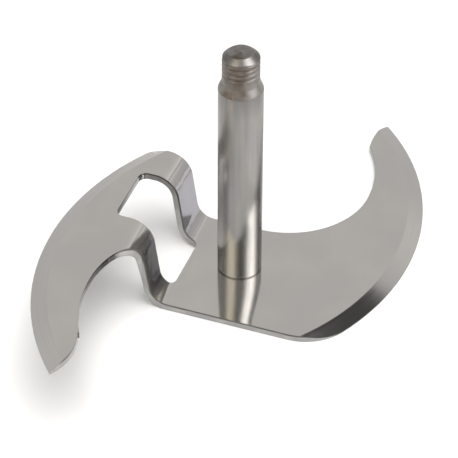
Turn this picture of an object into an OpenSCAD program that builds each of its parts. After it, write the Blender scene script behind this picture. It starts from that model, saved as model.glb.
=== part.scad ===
// Food processor blade: a sheet steel rotor with one low and one raised curved wing, and an upright
// post with a threaded end that stands on its hub. Millimetres.
//
// The underside of the hub lies at height zero and the post's axis is the vertical through the
// origin. The hub is a strip along x. The low wing leaves it to the right and sweeps back, the
// raised wing leaves it to the left over a step in the sheet and sweeps forward. Both cut with the
// long convex edge, so the rotor turns clockwise as seen from above.

/* [Sheet] */
// Thickness of the sheet
sheet = 2; // [1.5:0.1:2.5]
// Height of the step, from the hub to the raised wing
step_height = 20.4; // [18:0.1:24]
// Inside radius of the two bends of the step
bend_radius = 5; // [3:0.5:6]
// Distance from the post's axis to the start of the lower bend
step_distance = 13; // [12:0.1:14]
// Slope of the wall between the bends, in degrees
step_angle = 82; // [78:0.5:88]
// Turn of the bends against the hub's square, in degrees, seen from above
step_turn = 1.2; // [0:0.1:2]

/* [Hub] */
// Distance from the post's axis to the straight front edge
hub_front = 22; // [20:0.1:25]
// Distance from the post's axis to the straight back edge
hub_back = 16.2; // [14:0.1:18]
// Rounding between the front edge and the low wing's cutting edge
front_corner = 15; // [10:1:18]
// Rounding between the back edge and the raised wing's cutting edge
back_corner = 2.5; // [2:0.5:8]

/* [Window in the step] */
// Length of the window, along the hub
window_length = 16.5; // [12:0.1:18]
// Width of the window, across the hub
window_width = 19.3; // [12:0.1:22]
// Distance from the post's axis to the near end of the window
window_distance = 13.9; // [12:0.1:16]
// Distance from the post's axis to the front side of the window
window_front = 14.2; // [10:0.1:16]
// Rounding of the window's corners
window_corner = 2.2; // [0.5:0.1:4]

/* [Cutting edges] */
// Radius of the convex cutting edge of both wings
edge_radius = 74.8; // [73:0.1:78]
// Width of the ground bevel
bevel_width = 4.2; // [2:0.1:7]
// Height of the flat that the bevel leaves on the edge
edge_land = 0.3; // [0.1:0.1:0.8]

/* [Low wing] */
// Centre of the cutting edge, left of the post's axis
low_edge_left = 31.9; // [31:0.1:34]
// Centre of the cutting edge, behind the post's axis
low_edge_back = 20.5; // [19:0.1:22]
// Radius of the throat, where the inner edge leaves the hub
low_throat_radius = 24.1; // [23:0.1:25]
// Radius of the inner edge from the throat to the tip
low_inner_radius = 40; // [36:1:44]
// Distance from the post's axis to the inner corner of the tip, measured across the hub
low_tip_reach = 62; // [60:0.1:64]
// Radius of the round end of the tip
low_tip_radius = 25; // [24:0.1:26]
// Centre of the round end, right of the post's axis
low_tip_right = 42.2; // [42:0.1:43]
// Centre of the round end, behind the post's axis
low_tip_back = 66.1; // [65:0.1:67]

/* [Raised wing] */
// Centre of the cutting edge, right of the post's axis
raised_edge_right = 30.8; // [29:0.1:32]
// Centre of the cutting edge, in front of the post's axis
raised_edge_front = 24.1; // [23:0.1:25]
// Centre of the throat, right of the post's axis
raised_throat_right = 0.1; // [0:0.1:2]
// Centre of the throat, in front of the post's axis
raised_throat_front = 40; // [39:0.1:41]
// Radius of the throat, where the inner edge leaves the step
raised_throat_radius = 26.8; // [26:0.1:28]
// Radius of the inner edge from the throat to the tip
raised_inner_radius = 43; // [40:1:48]
// Distance from the post's axis to the inner corner of the tip, measured across the hub
raised_tip_reach = 61; // [60:0.1:63]
// Radius of the round end of the tip
raised_tip_radius = 15.9; // [15:0.1:17]
// Centre of the round end, left of the post's axis
raised_tip_left = 36.3; // [36:0.1:37]
// Centre of the round end, in front of the post's axis
raised_tip_front = 67.1; // [66:0.1:68]

/* [Post] */
// Diameter of the plain shank
post_d = 12; // [10:0.5:16]
// Length of the plain shank
post_length = 60.6; // [40:0.2:90]
// Bevel at the foot
foot_bevel = 0.4; // [0.2:0.1:1]
// Length of the conical shoulder below the thread
shoulder_length = 2.4; // [1:0.1:5]
// Outer diameter of the thread
thread_d = 10; // [6:0.5:10]
// Length of the threaded end, above the shoulder
thread_length = 8.9; // [6:0.1:20]
// Length of the bevel on the end
end_bevel = 1.4; // [0.5:0.1:2]

/* [Hidden] */
$fn = 160;
far = 120; // reaches past every edge of the part

blend = 0.01; // how far a rounding reaches past the edges that it joins
low_edge = [-low_edge_left, low_edge_back];
low_throat = [0, hub_back + low_throat_radius]; // touches the back edge
low_tip = [low_tip_right, low_tip_back];

// The raised wing is drawn turned by half a turn, then turned back.
raised_edge = [-raised_edge_right, raised_edge_front];
raised_throat = [-raised_throat_right, raised_throat_front];
raised_tip = [raised_tip_left, raised_tip_front];

// Centres of the two bends, in the view from the front
bend_out = bend_radius + sheet;
bend_low = [-step_distance, bend_out];
bend_rise = step_height - bend_radius - bend_out;
bend_gap = (bend_radius + bend_out + cos(step_angle) * bend_rise) / sin(step_angle);
bend_high = bend_low + [-bend_gap, bend_rise];
flat_from = -raised_throat_front; // the raised wing is flat in front of its throat's middle

function unit(v) = v / norm(v);

module disc(at, radius) {
    translate(at) circle(radius);
}

// What the concave inner edge leaves out: a tight throat that passes into a flatter curve
module throat(at, radius, inner_radius) {
    intersection() {
        disc(at, radius);
        translate(at - [far, far]) square([2 * far, far]);
    }
    intersection() {
        disc(at + [radius - inner_radius, 0], inner_radius);
        translate(at - [far, 0]) square([2 * far, far]);
    }
}

// The half of the outline right of the post's axis, with its wing swept back
module half_outline(edge, front, corner, throat_at, throat_radius, inner_radius, tip, tip_radius, reach) {
    // centre of the rounding between the front edge and the cutting edge
    round_y = corner - front;
    round_at = [edge.x + sqrt(pow(edge_radius - corner, 2) - pow(round_y - edge.y, 2)), round_y];
    outward = unit(round_at - edge);

    difference() {
        intersection() {
            disc(edge, edge_radius);
            union() {
                translate([0, -front]) square([far, front + reach]);
                intersection() {
                    disc(tip, tip_radius);
                    translate([0, reach]) square(far);
                }
            }
        }
        throat(throat_at, throat_radius, inner_radius);
        polygon([round_at, [round_at.x, -far], round_at + [far, -far], round_at + far * outward]);
    }
    intersection() {
        disc(round_at, corner + blend);
        disc(edge, edge_radius);
        translate([0, -front]) square(far);
    }
}

module rounded_window() {
    size = [window_length, window_width];
    inset = window_corner;
    translate([-window_distance - window_length, -window_front]) {
        translate([inset, 0]) square(size - [2 * inset, 0]);
        translate([0, inset]) square(size - [0, 2 * inset]);
        for (x = [inset, size.x - inset], y = [inset, size.y - inset])
            disc([x, y], inset);
    }
}

// The whole rotor as seen from above
module outline() {
    difference() {
        union() {
            half_outline(low_edge, hub_front, front_corner, low_throat, low_throat_radius,
                low_inner_radius, low_tip, low_tip_radius, low_tip_reach);
            rotate(180)
                half_outline(raised_edge, hub_back, back_corner, raised_throat, raised_throat_radius,
                    raised_inner_radius, raised_tip, raised_tip_radius, raised_tip_reach);
            // the hub's strip runs on under the raised wing's throat
            translate([bend_high.x, -hub_front]) square([-bend_high.x, hub_front + hub_back]);
        }
        rounded_window();
    }
}

// The side of a bend's centre where the bend lies, from one direction to another
module wedge(at, from, to) {
    polygon([at, at + far * [cos(from), sin(from)], at + far * [cos(to), sin(to)]]);
}

// The sheet as seen from the front: hub, lower bend, wall, upper bend and raised wing. It is drawn
// with sharp corners, then filled on the inside of each bend and rounded on the outside.
module stepped_profile() {
    setback = tan(step_angle / 2);
    bends = [[bend_low, 270], [bend_high, 90]];
    difference() {
        union() {
            polygon([
                [far, 0], [far, sheet],
                [bend_low.x - bend_radius * setback, sheet],
                [bend_high.x + bend_out * setback, step_height + sheet],
                [-far, step_height + sheet], [-far, step_height],
                [bend_high.x + bend_radius * setback, step_height],
                [bend_low.x - bend_out * setback, 0]
            ]);
            for (b = bends)
                intersection() {
                    wedge(b[0], b[1] - step_angle, b[1]);
                    difference() {
                        disc(b[0], bend_out - sheet / 4);
                        disc(b[0], bend_radius + blend);
                    }
                }
        }
        for (b = bends)
            difference() {
                wedge(b[0], b[1] - step_angle, b[1]);
                disc(b[0], bend_out + blend);
            }
    }
}

// What the grinding takes off the top of a cutting edge, around the edge's centre
module ground_off() {
    slope = bevel_width / (sheet - edge_land);
    rotate_extrude()
        polygon([
            [edge_radius + slope, edge_land - 1], [edge_radius + far, edge_land - 1],
            [edge_radius + far, sheet + 1], [edge_radius - bevel_width - slope, sheet + 1]
        ]);
}

// The space between the sheet's lower and upper faces
module stepped_slab() {
    rotate(step_turn) {
        translate([0, far, 0]) rotate([90, 0, 0]) linear_extrude(far - flat_from) stepped_profile();
        translate([-far, flat_from - far, step_height]) cube([far, far, sheet]);
    }
}

// One stamped, stepped and ground sheet
module blade_sheet() {
    color("silver")
        difference() {
            intersection() {
                linear_extrude(step_height + 2 * sheet) outline();
                stepped_slab();
            }
            translate(low_edge) ground_off();
            translate([0, 0, step_height]) rotate(180) translate(raised_edge) ground_off();
        }
}

// The turned post: plain shank, conical shoulder and the blank of the threaded end
module post() {
    r = post_d / 2;
    thread_r = thread_d / 2;
    shoulder = post_length + shoulder_length;
    top = shoulder + thread_length;
    color("gray")
        translate([0, 0, sheet])
            rotate_extrude()
                polygon([
                    [0, 0], [r - foot_bevel, 0], [r, foot_bevel], [r, post_length],
                    [thread_r, shoulder], [thread_r, top - end_bevel], [thread_r - end_bevel, top], [0, top]
                ]);
}

blade_sheet();
post();
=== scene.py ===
import math

import bpy
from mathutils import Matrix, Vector


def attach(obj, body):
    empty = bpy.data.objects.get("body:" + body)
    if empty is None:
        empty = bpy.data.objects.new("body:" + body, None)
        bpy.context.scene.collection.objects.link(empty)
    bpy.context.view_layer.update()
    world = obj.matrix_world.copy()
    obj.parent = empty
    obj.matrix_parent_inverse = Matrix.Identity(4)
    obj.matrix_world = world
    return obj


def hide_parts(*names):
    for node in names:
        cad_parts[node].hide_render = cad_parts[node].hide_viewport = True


# Food processor blade: a polished, stepped cutter sheet and a turned, threaded post.
# Metres, Z up, the post's axis at x = y = 0 and the hub's underside at z = 0.
# Sizes and depths in the settings are in millimetres, noise scales are per millimetre, and turns and
# angles are in degrees. The studio's notes give its own units.

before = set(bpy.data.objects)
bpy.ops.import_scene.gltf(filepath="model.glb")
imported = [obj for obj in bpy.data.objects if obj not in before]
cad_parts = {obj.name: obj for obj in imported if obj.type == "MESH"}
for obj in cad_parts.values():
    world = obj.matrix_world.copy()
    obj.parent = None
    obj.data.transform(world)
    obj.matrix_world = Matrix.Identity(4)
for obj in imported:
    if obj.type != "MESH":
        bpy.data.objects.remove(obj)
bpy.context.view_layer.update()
print("frame loaded", sorted(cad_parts))

mm = 0.001


def deselectAll():
    if bpy.context.object and bpy.context.object.mode != "OBJECT":
        bpy.ops.object.mode_set(mode="OBJECT")
    bpy.ops.object.select_all(action="DESELECT")


def selectOnly(obj):
    deselectAll()
    obj.select_set(True)
    bpy.context.view_layer.objects.active = obj


def hexToLinear(code):
    # an sRGB hex code as linear red, green, blue and an alpha of 1
    channels = [int(code[i:i + 2], 16) / 255 for i in (1, 3, 5)]
    linear = [c / 12.92 if c <= 0.04045 else ((c + 0.055) / 1.055) ** 2.4 for c in channels]
    return (*linear, 1.0)


def addNode(tree, kind, settings=None, inputs=None):
    # adds a node; an input is a value or the output socket that feeds it
    node = tree.nodes.new(kind)
    for name, value in (settings or {}).items():
        setattr(node, name, value)
    for name, value in (inputs or {}).items():
        if isinstance(value, bpy.types.NodeSocket):
            tree.links.new(value, node.inputs[name])
        else:
            node.inputs[name].default_value = value
    return node


def newMaterial(name):
    material = bpy.data.materials.new(name)
    material.use_nodes = True
    tree = material.node_tree
    tree.nodes.clear()
    shader = addNode(tree, "ShaderNodeBsdfPrincipled")
    addNode(tree, "ShaderNodeOutputMaterial", inputs={"Surface": shader.outputs["BSDF"]})
    return material, tree, shader


# Parts of materials


def objectMm(tree):
    # the piece's own coordinates, in millimetres
    coordinates = addNode(tree, "ShaderNodeTexCoord")
    scaled = addNode(tree, "ShaderNodeVectorMath", {"operation": "SCALE"},
                     {0: coordinates.outputs["Object"], "Scale": 1 / mm})
    return scaled.outputs["Vector"]


def heightOf(tree, vector):
    return addNode(tree, "ShaderNodeSeparateXYZ", inputs={"Vector": vector}).outputs["Z"]


def combined(tree, operation, first, second):
    node = addNode(tree, "ShaderNodeVectorMath", {"operation": operation}, {0: first, 1: second})
    return node.outputs["Vector"]


def stretched(tree, vector, scale):
    return combined(tree, "MULTIPLY", vector, scale)


def lengthOf(tree, vector):
    return addNode(tree, "ShaderNodeVectorMath", {"operation": "LENGTH"}, {0: vector}).outputs["Value"]


def along(tree, vector, axis):
    # how far a vector reaches along an axis
    node = addNode(tree, "ShaderNodeVectorMath", {"operation": "DOT_PRODUCT"}, {0: vector, 1: axis})
    return node.outputs["Value"]


def noiseOf(tree, vector, scale, detail=3.0, roughness=0.5):
    node = addNode(tree, "ShaderNodeTexNoise", inputs={
        "Vector": vector, "Scale": scale, "Detail": detail, "Roughness": roughness})
    return node.outputs["Fac"]


def grainOf(tree, vector, scale, detail=4.0):
    # a rougher noise with a scale of its own along each axis
    return noiseOf(tree, stretched(tree, vector, scale), 1.0, detail, 0.6)


def mapped(tree, value, fromRange, toLow=0.0, toHigh=1.0):
    fromLow, fromHigh = fromRange
    node = addNode(tree, "ShaderNodeMapRange", inputs={
        "Value": value, "From Min": fromLow, "From Max": fromHigh, "To Min": toLow, "To Max": toHigh})
    return node.outputs["Result"]


def spread(tree, noise, low=0.0, high=1.0):
    # nearly all of a noise lies between 0.3 and 0.7
    return mapped(tree, noise, (0.3, 0.7), low, high)


def maths(tree, operation, first, second=0.0, third=0.0):
    node = addNode(tree, "ShaderNodeMath", {"operation": operation}, {0: first, 1: second, 2: third})
    return node.outputs["Value"]


def band(tree, value, limits):
    # rises to 1 between the first two limits and falls back to 0 between the last two
    rising = mapped(tree, value, limits[:2])
    falling = mapped(tree, value, limits[2:], 1.0, 0.0)
    return maths(tree, "MULTIPLY", rising, falling)


def blended(tree, factor, first, second):
    # a colour is a hex code or the output socket that feeds it
    colours = [hexToLinear(c) if isinstance(c, str) else c for c in (first, second)]
    node = addNode(tree, "ShaderNodeMix", {"data_type": "RGBA"}, {0: factor, 6: colours[0], 7: colours[1]})
    return node.outputs[2]


def bump(tree, shader, height):
    # the height is in metres
    node = addNode(tree, "ShaderNodeBump", inputs={"Strength": 1.0, "Distance": 1.0, "Height": height})
    tree.links.new(node.outputs["Normal"], shader.inputs["Normal"])


# Materials of the sheet

sheetSteel = {
    "colour": "#bdb9b4",
    "tint": "#b7b4b0",
    "tintScale": 0.06,
    "tintRange": (0.35, 0.65),
    "roughness": (0.075, 0.10),
    "smearScale": (0.30, 0.10, 0.2),
    "grainScale": (2.2, 0.05, 0.5),
    "grainDepth": 0.0003,
    # painted shade on the wall of the step, and the heights where it fades in and out
    "wallShadeTint": "#95939a",
    "wallShadeHeights": (2.5, 6.0, 17.0, 21.0),
    "pressedHeights": (2.05, 3.5, 19.0, 22.3),
    "pressedRoughness": 0.09,
    "dentScale": 0.15,
    "dentDepth": 0.2,
    "warpTurn": 20.0,
    "warpRadius": 116.0,
    "warpLean": 0.03,
    "warpAhead": (6.0, 22.0),
    "warpAside": (6.0, 20.0),
}


def hubWarp(tree, place):
    # from the post towards the front the sheet falls away a little to both sides, more to the right
    spec = sheetSteel
    turn = math.radians(spec["warpTurn"])
    ahead = along(tree, place, (math.sin(turn), -math.cos(turn), 0.0))
    across = along(tree, place, (math.cos(turn), math.sin(turn), 0.0))
    bulge = maths(tree, "MULTIPLY_ADD", across, -mm / (2 * spec["warpRadius"]), -mm * spec["warpLean"])
    fall = maths(tree, "MULTIPLY", across, bulge)
    front = mapped(tree, ahead, spec["warpAhead"])
    near, far = spec["warpAside"]
    side = addNode(tree, "ShaderNodeMapRange", {"interpolation_type": "SMOOTHSTEP"},
                   {"Value": maths(tree, "ABSOLUTE", across), "From Min": near, "From Max": far,
                    "To Min": 1.0, "To Max": 0.0}).outputs["Result"]
    return maths(tree, "MULTIPLY", fall, maths(tree, "MULTIPLY", front, side))


def makeSheetSteel():
    # cold-rolled stainless sheet, polished: a near mirror with a faint warm cast
    material, tree, shader = newMaterial("polishedStainlessSheet")
    spec = sheetSteel
    place = objectMm(tree)
    height = heightOf(tree, place)
    shader.inputs["Metallic"].default_value = 1.0
    cloud = mapped(tree, noiseOf(tree, place, spec["tintScale"]), spec["tintRange"])
    colour = blended(tree, cloud, spec["colour"], spec["tint"])
    # painted shade: the wall of the step is painted darker and bluer, for the dimmer floor behind the hub
    # that it mirrors
    wallShade = band(tree, height, spec["wallShadeHeights"])
    tree.links.new(blended(tree, wallShade, colour, spec["wallShadeTint"]), shader.inputs["Base Color"])
    # the bends too are rougher and less even than the flat parts
    pressed = band(tree, height, spec["pressedHeights"])
    smears = spread(tree, grainOf(tree, place, spec["smearScale"], 5.0), *spec["roughness"])
    polish = maths(tree, "MULTIPLY_ADD", pressed, spec["pressedRoughness"], smears)
    tree.links.new(polish, shader.inputs["Roughness"])
    dents = maths(tree, "MULTIPLY", noiseOf(tree, place, spec["dentScale"], 2.0), pressed)
    uneven = maths(tree, "MULTIPLY_ADD", dents, mm * spec["dentDepth"], hubWarp(tree, place))
    # real rolling lines are finer; these are coarse enough to show
    grain = grainOf(tree, place, spec["grainScale"])
    bump(tree, shader, maths(tree, "MULTIPLY_ADD", grain, mm * spec["grainDepth"], uneven))
    return material


# The lines of the ground bevels run round the centres of the two cutting edges.
groundSteel = {
    "colour": "#b8b5b1",
    "streak": "#b3b0ac",
    "roughness": (0.12, 0.18),
    "lineScale": 2.6,
    "lineDrift": 0.04,
    "lineDepth": 0.0004,
    "lowCentre": (-31.9, 20.5, 0.0),
    "raisedCentre": (30.8, -24.1, 0.0),
    "raisedFrom": 10.0,
}


def makeGroundSteel():
    # ground stainless: fine lines along the edge, around the centre of its arc
    material, tree, shader = newMaterial("groundStainlessBevel")
    spec = groundSteel
    place = objectMm(tree)
    raised = maths(tree, "GREATER_THAN", heightOf(tree, place), spec["raisedFrom"])
    centre = addNode(tree, "ShaderNodeMix", {"data_type": "VECTOR"},
                     {0: raised, 4: spec["lowCentre"], 5: spec["raisedCentre"]}).outputs[1]
    arm = combined(tree, "SUBTRACT", place, centre)
    radius = lengthOf(tree, stretched(tree, arm, (1.0, 1.0, 0.0)))
    outwards = maths(tree, "MULTIPLY", radius, spec["lineScale"])
    lines = addNode(tree, "ShaderNodeCombineXYZ", inputs={"X": outwards})
    drift = stretched(tree, arm, (spec["lineDrift"], spec["lineDrift"], 0.0))
    grind = noiseOf(tree, combined(tree, "ADD", lines.outputs["Vector"], drift), 1.0, 4.0, 0.6)
    shader.inputs["Metallic"].default_value = 1.0
    colour = blended(tree, spread(tree, grind), spec["colour"], spec["streak"])
    tree.links.new(colour, shader.inputs["Base Color"])
    smooth, rough = spec["roughness"]
    tree.links.new(spread(tree, grind, rough, smooth), shader.inputs["Roughness"])
    bump(tree, shader, maths(tree, "MULTIPLY", grind, mm * spec["lineDepth"]))
    return material


shearedSteel = {
    "colour": "#9b9a99",
    "burnished": "#a9a8a6",
    "wearScale": 0.35,
    "wearRange": (0.4, 0.65),
    # painted shade of the rolled-over edge, placed by depth below the skin
    "rolledShade": "#5c5a57",
    "rolledShadeDepth": (0.35, 0.65),
    "rolledShadeSway": 0.4,
    "roughness": (0.16, 0.28),
    "markScale": (1.6, 1.6, 0.12),
    "markDepth": 0.0015,
}


def makeShearedSteel():
    # sheared and deburred stainless edge: upright punch marks, brighter where it is rubbed
    material, tree, shader = newMaterial("shearedStainlessEdge")
    spec = shearedSteel
    place = objectMm(tree)
    shader.inputs["Metallic"].default_value = 1.0
    wear = noiseOf(tree, place, spec["wearScale"])
    colour = blended(tree, mapped(tree, wear, spec["wearRange"]), spec["colour"], spec["burnished"])
    # painted shade: a dark band is painted along the top of the cut face, just below the polished skin,
    # where the punch rolled the edge over
    depth = addNode(tree, "ShaderNodeAttribute", {"attribute_name": "depthBelowSkin"}).outputs["Fac"]
    uneven = maths(tree, "MULTIPLY_ADD", wear, -spec["rolledShadeSway"], depth)
    fadeFrom, fadeTo = (limit - spec["rolledShadeSway"] / 2 for limit in spec["rolledShadeDepth"])
    rolledShade = mapped(tree, uneven, (fadeFrom, fadeTo), 1.0, 0.0)
    tree.links.new(blended(tree, rolledShade, colour, spec["rolledShade"]), shader.inputs["Base Color"])
    marks = grainOf(tree, place, spec["markScale"])
    tree.links.new(spread(tree, marks, *spec["roughness"]), shader.inputs["Roughness"])
    bump(tree, shader, maths(tree, "MULTIPLY", marks, mm * spec["markDepth"]))
    return material


# Materials of the post

postSteel = {
    "colour": "#93918e",
    "streak": "#888785",
    "streakScale": (0.8, 0.8, 0.05),
    "streakRange": (0.35, 0.65),
    "upperTone": "#706e6e",
    "upperHeights": (56.0, 62.0),
    "upperShare": 0.6,
    "roughness": (0.23, 0.27),
    "anisotropy": 0.96,
    "ringScale": (0.10, 0.10, 6.0),
    "ringDepth": 0.0003,
}


def makePostSteel():
    # turned stainless bar: fine rings round the axis draw every highlight out along it
    material, tree, shader = newMaterial("turnedStainlessBar")
    spec = postSteel
    place = objectMm(tree)
    shader.inputs["Metallic"].default_value = 1.0
    shader.inputs["Anisotropic"].default_value = spec["anisotropy"]
    streaks = mapped(tree, grainOf(tree, place, spec["streakScale"]), spec["streakRange"])
    colour = blended(tree, streaks, spec["colour"], spec["streak"])
    # darker towards the top of the shank, just under the shoulder
    darkened = mapped(tree, heightOf(tree, place), spec["upperHeights"], 0.0, spec["upperShare"])
    tree.links.new(blended(tree, darkened, colour, spec["upperTone"]), shader.inputs["Base Color"])
    rings = grainOf(tree, place, spec["ringScale"])
    tree.links.new(spread(tree, rings, *spec["roughness"]), shader.inputs["Roughness"])
    bump(tree, shader, maths(tree, "MULTIPLY", rings, mm * spec["ringDepth"]))
    tangent = addNode(tree, "ShaderNodeTangent", {"direction_type": "RADIAL", "axis": "Z"})
    tree.links.new(tangent.outputs["Tangent"], shader.inputs["Tangent"])
    return material


threadSteel = {
    "colour": "#85827f",
    "stain": "#61574f",
    "grooveReach": (4.6, 4.98),
    "grooveStain": 0.3,
    "patchScale": (0.45, 0.45, 0.3),
    "patchRange": (0.42, 0.62),
    "patchStain": (0.05, 0.5),
    "stainedSide": (0.09, -0.996, 0.0),
    "stainedFacing": (0.7, 0.97),
    "sideStain": 0.55,
    "roughness": (0.42, 0.56),
    "endHeights": (71.8, 72.5),
    "endRoughness": 0.41,
    "endTone": "#696663",
    "rimHeights": (72.0, 72.4, 73.7, 73.89),
    "scuffScale": 1.3,
    "scuffDepth": 0.004,
}


def threadStain(tree, place, below):
    # brown in the grooves, in patches all round, and over the side that faces the front
    spec = threadSteel
    reach = lengthOf(tree, stretched(tree, place, (1.0, 1.0, 0.0)))
    deep = mapped(tree, reach, spec["grooveReach"], spec["grooveStain"], 0.0)
    grooves = maths(tree, "MULTIPLY", deep, below)
    cloud = grainOf(tree, place, spec["patchScale"])
    patches = mapped(tree, cloud, spec["patchRange"], *spec["patchStain"])
    # the axis itself has no side, so the reach is kept off zero
    offAxis = maths(tree, "MAXIMUM", reach, 0.1)
    facing = maths(tree, "DIVIDE", along(tree, place, spec["stainedSide"]), offAxis)
    side = mapped(tree, facing, spec["stainedFacing"], 0.0, spec["sideStain"])
    return maths(tree, "ADD", maths(tree, "ADD", patches, grooves), side)


def makeThreadSteel():
    # cut stainless thread: dull and stained brown, with a smoother rounded end
    material, tree, shader = newMaterial("threadedStainlessEnd")
    spec = threadSteel
    place = objectMm(tree)
    height = heightOf(tree, place)
    shader.inputs["Metallic"].default_value = 1.0
    below = mapped(tree, height, spec["endHeights"], 1.0, 0.0)
    stained = blended(tree, threadStain(tree, place, below), spec["colour"], spec["stain"])
    rim = band(tree, height, spec["rimHeights"])
    tree.links.new(blended(tree, rim, stained, spec["endTone"]), shader.inputs["Base Color"])
    # the roughness of the scuffed thread is added to that of the end
    scuffs = noiseOf(tree, place, spec["scuffScale"], 4.0, 0.6)
    rougher = spread(tree, scuffs, *(limit - spec["endRoughness"] for limit in spec["roughness"]))
    polish = maths(tree, "MULTIPLY_ADD", rougher, below, spec["endRoughness"])
    tree.links.new(polish, shader.inputs["Roughness"])
    bump(tree, shader, maths(tree, "MULTIPLY", scuffs, mm * spec["scuffDepth"]))
    return material


# Post

# A corner is softened by points that lie so far out and up from it.
post = {
    "radius": 6.0,
    "foot": 2.0,
    "footBevel": 0.4,
    "shankTop": 62.6,
    "shankCorner": ((0.0, -0.3), (0.0, -0.08), (-0.05, 0.08), (-0.17, 0.4)),
    "shoulderTop": 65.0,
    "shoulderCorner": ((0.1, -0.24), (0.02, -0.05), (0.0, 0.1)),
    "threadRadius": 5.0,
    "threadStart": 66.0,
    "threadDepth": 0.22,
    "grooveFloor": 0.04,
    "grooveFlank": 0.9,
    "pitch": 1.5,
    "ringStep": 0.1,
    "bevelStart": 72.3,
    "top": 73.898,
    "topRadius": 3.25,
    "endRings": 14,
    "endFlatness": 1.85,
    "segments": 144,
    "smoothAngle": 35,
}


def extrudeRings(name, rings, segments):
    # a disc is drawn at the first ring, then pulled up and scaled from ring to ring
    deselectAll()
    radius, height = rings[0]
    bpy.ops.mesh.primitive_circle_add(vertices=segments, radius=radius * mm, fill_type="NGON",
                                      location=(0, 0, height * mm))
    obj = bpy.context.object
    obj.name = name
    bpy.ops.object.transform_apply(location=True, rotation=True, scale=True)
    bpy.ops.object.mode_set(mode="EDIT")
    bpy.ops.mesh.select_all(action="SELECT")
    for nextRadius, nextHeight in rings[1:]:
        bpy.ops.mesh.extrude_region_move(
            TRANSFORM_OT_translate={"value": (0, 0, (nextHeight - height) * mm)})
        if nextRadius != radius:
            scale = nextRadius / radius
            bpy.ops.transform.resize(value=(scale, scale, 1), center_override=(0, 0, nextHeight * mm))
        radius, height = nextRadius, nextHeight
    bpy.ops.mesh.select_all(action="SELECT")
    bpy.ops.mesh.normals_make_consistent(inside=False)
    bpy.ops.object.mode_set(mode="OBJECT")
    return obj


def cutThread(obj):
    # moves the points of the threaded end inwards along a right-hand helix
    p = post
    for vertex in obj.data.vertices:
        z = vertex.co.z / mm
        if z < p["threadStart"]:
            continue
        r = math.hypot(vertex.co.x, vertex.co.y) / mm
        angle = math.atan2(vertex.co.y, vertex.co.x) / (2 * math.pi)
        phase = ((z - p["threadStart"]) / p["pitch"] - angle) % 1.0
        wave = abs(2 * phase - 1)  # 1 on the crest, 0 in the groove
        rise = min(1.0, max(0.0, (wave - p["grooveFloor"]) / p["grooveFlank"]))
        depth = p["threadDepth"] * (1 - rise * rise * (3 - 2 * rise))
        fade = min(1.0, (z - p["threadStart"]) / p["pitch"])
        grooved = p["threadRadius"] - depth * fade
        if grooved < r:
            vertex.co.x *= grooved / r
            vertex.co.y *= grooved / r


def makePost():
    p = post
    rings = [(p["radius"] - p["footBevel"], p["foot"]), (p["radius"], p["foot"] + p["footBevel"])]
    rings += [(p["radius"] + out, p["shankTop"] + up) for out, up in p["shankCorner"]]
    rings += [(p["threadRadius"] + out, p["shoulderTop"] + up) for out, up in p["shoulderCorner"]]
    threadLength = p["bevelStart"] - p["threadStart"]
    steps = round(threadLength / p["ringStep"])
    for i in range(steps + 1):
        rings.append((p["threadRadius"], p["threadStart"] + i * threadLength / steps))
    for i in range(1, p["endRings"] + 1):
        # the bevel on the end is a little rounded
        part = math.pi / 2 * i / p["endRings"]
        inwards = math.cos(part) ** p["endFlatness"]
        upwards = math.sin(part) ** p["endFlatness"]
        rings.append((p["topRadius"] + (p["threadRadius"] - p["topRadius"]) * inwards,
                      p["bevelStart"] + (p["top"] - p["bevelStart"]) * upwards))
    obj = extrudeRings("threadedPost", rings, p["segments"])
    cutThread(obj)
    selectOnly(obj)
    bpy.ops.object.shade_smooth_by_angle(angle=math.radians(p["smoothAngle"]))
    obj.data.materials.append(makePostSteel())
    obj.data.materials.append(makeThreadSteel())
    for polygon in obj.data.polygons:
        polygon.material_index = 1 if polygon.center.z > p["shankTop"] * mm else 0
    return obj


threadedPost = makePost()
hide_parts("post")
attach(threadedPost, "root")
print("post made", len(threadedPost.data.polygons), "faces")

# Sheet

# A face is a cut, a bevel or skin by how far its normal points up.
sheet = {
    "thickness": 2.0,
    "raisedFloor": 20.4,
    "edgeRadius": 74.8,
    "bevelWidth": 4.2,
    "cutTilt": 0.05,
    "bevelTilt": (0.85, 0.97),
    "stepTurn": 1.2,
    "stepAngle": 82.0,
    "stepDistance": 13.0,
    "insideRadius": 5.0,
    "flatFrom": -40.0,
    "mergeDistance": 0.002,
    "flatAngle": 0.2,
    "cornerAngle": 40,
    "smoothAngle": 21,
    "normalWeight": 80,
    "rounding": 0.05,
    "roundingSteps": 2,
}

# the sheet's materials, by their place in its list
skinIndex, groundIndex, cutIndex = range(3)


def onGroundEdge(point):
    # whether a point lies on the ground bevel or the thin flat that it leaves
    x, y, z = (c / mm for c in point)
    slack = 0.1
    if z > sheet["raisedFloor"] - slack:
        centre = groundSteel["raisedCentre"]
    elif z < sheet["thickness"] + slack:
        centre = groundSteel["lowCentre"]
    else:
        return False
    reach = math.hypot(x - centre[0], y - centre[1])
    return sheet["edgeRadius"] - sheet["bevelWidth"] - slack < reach < sheet["edgeRadius"] + slack


def foldedEdges(data, angle):
    # the edges whose two faces meet at more than the angle
    facesOf = {}
    for polygon in data.polygons:
        for key in polygon.edge_keys:
            facesOf.setdefault(key, []).append(polygon.normal)
    folded = set()
    for edge in data.edges:
        normals = facesOf[tuple(sorted(edge.vertices))]
        if len(normals) == 2 and normals[0].angle(normals[1]) > math.radians(angle):
            folded.add(edge.index)
    return folded


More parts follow.
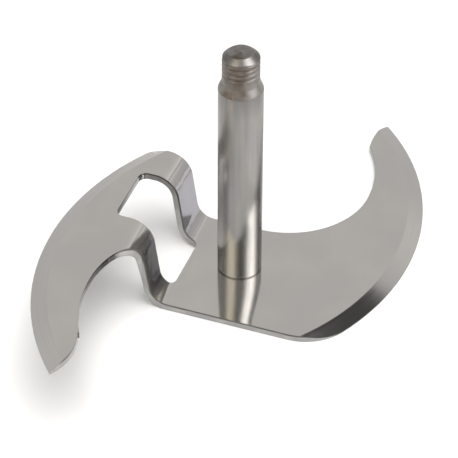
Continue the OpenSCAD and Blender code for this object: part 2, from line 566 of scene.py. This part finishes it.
def roundEdges(obj):
    # breaks every sharp edge; the operator narrows the width where points lie close together
    selectOnly(obj)
    chosen = foldedEdges(obj.data, sheet["cornerAngle"])
    bpy.ops.object.mode_set(mode="EDIT")
    bpy.ops.mesh.select_mode(type="EDGE")
    bpy.ops.mesh.select_all(action="DESELECT")
    bpy.ops.object.mode_set(mode="OBJECT")
    for index in chosen:
        obj.data.edges[index].select = True
    bpy.ops.object.mode_set(mode="EDIT")
    bpy.ops.mesh.bevel(offset=sheet["rounding"] * mm, segments=sheet["roundingSteps"], profile=0.5,
                       clamp_overlap=True, material=cutIndex, miter_outer="ARC")
    bpy.ops.object.mode_set(mode="OBJECT")
    print("rounded", len(chosen), "edges by", sheet["rounding"])


def bendCentres():
    # the centres of the lower and the upper bend, seen from the front
    inner = sheet["insideRadius"]
    outer = inner + sheet["thickness"]
    angle = math.radians(sheet["stepAngle"])
    rise = sheet["raisedFloor"] - inner - outer
    gap = (inner + outer + math.cos(angle) * rise) / math.sin(angle)
    return (-sheet["stepDistance"], outer), (-sheet["stepDistance"] - gap, outer + rise)


def depthBelowSkin(point):
    # how far a point lies below the sheet's upper face, also round the bends and down the wall
    turn = math.radians(-sheet["stepTurn"])
    x = (point.x * math.cos(turn) - point.y * math.sin(turn)) / mm
    y = (point.x * math.sin(turn) + point.y * math.cos(turn)) / mm
    z = point.z / mm
    (lowX, lowZ), (highX, highZ) = bendCentres()
    outer = sheet["insideRadius"] + sheet["thickness"]
    lean = math.radians(90 - sheet["stepAngle"])
    slack = 0.1
    if z > sheet["raisedFloor"] - slack and (y < sheet["flatFrom"] or x < highX):
        return sheet["raisedFloor"] + sheet["thickness"] - z
    if x > lowX:
        return sheet["thickness"] - z
    if math.atan2(z - highZ, x - highX) > lean:
        return outer - math.hypot(x - highX, z - highZ)
    if math.atan2(lowZ - z, lowX - x) > lean:
        return math.hypot(x - lowX, z - lowZ) - sheet["insideRadius"]
    return outer - (x - highX) * math.cos(lean) - (z - highZ) * math.sin(lean)


def smoothSheet(obj):
    # the flat faces keep their own normals, and only the bends and the roundings look smooth
    selectOnly(obj)
    bpy.ops.object.mode_set(mode="EDIT")
    bpy.ops.mesh.select_all(action="SELECT")
    bpy.ops.mesh.quads_convert_to_tris(quad_method="BEAUTY", ngon_method="BEAUTY")
    bpy.ops.object.mode_set(mode="OBJECT")
    bpy.ops.object.shade_smooth()
    sharp = foldedEdges(obj.data, sheet["smoothAngle"])
    for edge in obj.data.edges:
        edge.use_edge_sharp = edge.index in sharp
    weighted = obj.modifiers.new("weighted", "WEIGHTED_NORMAL")
    weighted.mode = "FACE_AREA"
    weighted.weight = sheet["normalWeight"]
    weighted.keep_sharp = True
    bpy.ops.object.modifier_apply(modifier=weighted.name)


def makeSheet():
    # the stamped form itself is copied, merged, and its sharp edges are broken
    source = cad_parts["blade_sheet"]
    obj = bpy.data.objects.new("bladeSheet", source.data.copy())
    bpy.context.scene.collection.objects.link(obj)
    obj.matrix_world = source.matrix_world.copy()
    selectOnly(obj)
    bpy.ops.object.transform_apply(location=True, rotation=True, scale=True)
    obj.data.materials.clear()
    for material in (makeSheetSteel(), makeGroundSteel(), makeShearedSteel()):
        obj.data.materials.append(material)
    bpy.ops.object.mode_set(mode="EDIT")
    bpy.ops.mesh.select_all(action="SELECT")
    bpy.ops.mesh.remove_doubles(threshold=sheet["mergeDistance"] * mm)
    flat = math.radians(sheet["flatAngle"])
    bpy.ops.mesh.dissolve_limited(angle_limit=flat, use_dissolve_boundaries=False)
    bpy.ops.object.mode_set(mode="OBJECT")
    lowTilt, highTilt = sheet["bevelTilt"]
    for polygon in obj.data.polygons:
        corners = [obj.data.vertices[i].co for i in polygon.vertices]
        if abs(polygon.normal.z) < sheet["cutTilt"]:
            polygon.material_index = cutIndex
        elif lowTilt < polygon.normal.z < highTilt and all(onGroundEdge(corner) for corner in corners):
            polygon.material_index = groundIndex
        else:
            polygon.material_index = skinIndex
    roundEdges(obj)
    smoothSheet(obj)
    depths = obj.data.attributes.new("depthBelowSkin", "FLOAT", "POINT")
    for vertex in obj.data.vertices:
        depths.data[vertex.index].value = depthBelowSkin(vertex.co)
    return obj


bladeSheet = makeSheet()
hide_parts("blade_sheet")
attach(bladeSheet, "root")
print("sheet made", len(bladeSheet.data.polygons), "faces")

# Studio

# The floor and the lens's clipping are in metres. Heights in the room are sines of a direction's elevation:
# between the glow's two heights it goes from the first value, low down, to the second. It fades out behind
# the back panel, between two dot products with the direction there.
studio = {
    "floorSize": 6.0,
    "floorColour": "#f6f5f3",
    "floorRoughness": 0.9,
    "floorShine": 0.1,
    "glow": (0.75, 0.05),
    "glowHeights": (0.36, 0.66),
    "ceiling": 1.0,
    "ceilingHeights": (0.92, 0.96),
    "behindElevation": 10,
    "behindPanel": (0.56, 0.78),
    "cameraPlace": (177.707, -499.231, 459.487),
    "cameraTurn": (49.9997, -0.1923, 20.0694),
    "lens": 201.28,
    "sensorWidth": 36,
    "clipStart": 0.01,
    "target": (0, 0, 20),
}

# Azimuth to the right of the camera and elevation in degrees; distance, width and height in metres.
panels = {
    "backPanel": {"azimuth": -174, "elevation": 30, "distance": 1.0, "size": (2.0, 1.25), "radiance": 0.82,
                  "colour": "#ffffff", "seenIn": "both"},
    "rightBox": {"azimuth": 63, "elevation": 42, "distance": 0.9, "size": (0.54, 0.9), "radiance": 10.0,
                 "colour": "#fbfcff", "seenIn": "reflections"},
    "leftCard": {"azimuth": -43, "elevation": 42, "distance": 0.9, "size": (0.52, 0.8), "radiance": 4.2,
                 "colour": "#fffaea", "seenIn": "reflections"},
    "farCard": {"azimuth": 122, "elevation": 30, "distance": 0.9, "size": (0.24, 0.2), "radiance": 0.4,
                "colour": "#ffffff", "seenIn": "reflections"},
    "wingCard": {"azimuth": -91, "elevation": 38, "distance": 0.9, "size": (0.66, 0.4), "radiance": 0.65,
                 "colour": "#ffffff", "seenIn": "reflections"},
    "topLight": {"azimuth": 20, "elevation": 78, "distance": 1.2, "size": (1.4, 1.4), "radiance": 3.0,
                 "colour": "#ffffff", "seenIn": "floor"},
}

# A small card lies just over the floor to the right of the low wing, where only the post mirrors it. Its
# place is in millimetres.
lowCard = {"place": (81, -14, 0.5), "size": (0.07, 0.045), "radiance": 0.45, "colour": "#ffffff",
           "seenIn": "reflections"}


def direction(azimuth, elevation):
    toCamera = Vector((studio["cameraPlace"][0], studio["cameraPlace"][1], 0)).normalized()
    right = Vector((-toCamera.y, toCamera.x, 0))
    a, e = math.radians(azimuth), math.radians(elevation)
    return (toCamera * math.cos(a) + right * math.sin(a)) * math.cos(e) + Vector((0, 0, math.sin(e)))


def makePanel(name, settings):
    light = bpy.data.lights.new(name, "AREA")
    light.shape = "RECTANGLE"
    light.size, light.size_y = settings["size"]
    light.energy = settings["radiance"] * math.pi * light.size * light.size_y
    light.color = hexToLinear(settings["colour"])[:3]
    obj = bpy.data.objects.new(name, light)
    bpy.context.scene.collection.objects.link(obj)
    # cards give the metal its streaks, the top light gives the floor its brightness
    obj.visible_diffuse = settings["seenIn"] != "reflections"
    obj.visible_glossy = settings["seenIn"] != "floor"
    return obj


def makeLights():
    for name, settings in panels.items():
        obj = makePanel(name, settings)
        away = direction(settings["azimuth"], settings["elevation"])
        obj.location = Vector(studio["target"]) * mm + away * settings["distance"]
        obj.rotation_euler = away.to_track_quat("Z", "Y").to_euler()
    card = makePanel("lowCard", lowCard)
    card.location = [v * mm for v in lowCard["place"]]
    card.rotation_euler = (math.pi, 0, 0)
    card.visible_camera = False


def makeFloor():
    deselectAll()
    bpy.ops.mesh.primitive_plane_add(size=studio["floorSize"], location=(0, 0, 0))
    floor = bpy.context.object
    floor.name = "floor"
    # matt painted board
    material, tree, shader = newMaterial("mattPaintedBoard")
    shader.inputs["Base Color"].default_value = hexToLinear(studio["floorColour"])
    shader.inputs["Roughness"].default_value = studio["floorRoughness"]
    shader.inputs["Specular IOR Level"].default_value = studio["floorShine"]
    floor.data.materials.append(material)


def makeRoom():
    world = bpy.data.worlds.new("studioAir")
    world.use_nodes = True
    tree = world.node_tree
    tree.nodes.clear()
    outwards = addNode(tree, "ShaderNodeTexCoord").outputs["Generated"]
    height = heightOf(tree, outwards)
    # the room is lit low down all round, except behind the back panel, which would let it through
    behind = along(tree, outwards, direction(panels["backPanel"]["azimuth"], studio["behindElevation"]))
    clear = mapped(tree, behind, studio["behindPanel"], 1.0, 0.0)
    glow = maths(tree, "MULTIPLY", mapped(tree, height, studio["glowHeights"], *studio["glow"]), clear)
    # a pale ceiling straight above, which only a look down on the sheet mirrors
    ceiling = mapped(tree, height, studio["ceilingHeights"], 0.0, studio["ceiling"])
    background = addNode(tree, "ShaderNodeBackground",
                         inputs={"Color": (1, 1, 1, 1), "Strength": maths(tree, "ADD", glow, ceiling)})
    addNode(tree, "ShaderNodeOutputWorld", inputs={"Surface": background.outputs["Background"]})
    bpy.context.scene.world = world


def makeCamera():
    camera = bpy.data.objects.new("camera", bpy.data.cameras.new("camera"))
    bpy.context.scene.collection.objects.link(camera)
    camera.location = [v * mm for v in studio["cameraPlace"]]
    camera.rotation_euler = [math.radians(v) for v in studio["cameraTurn"]]
    camera.data.lens = studio["lens"]
    camera.data.sensor_width = studio["sensorWidth"]
    camera.data.clip_start = studio["clipStart"]
    bpy.context.scene.camera = camera
    bpy.context.scene.view_settings.view_transform = "Standard"


makeFloor()
makeLights()
makeRoom()
makeCamera()
print("studio made")
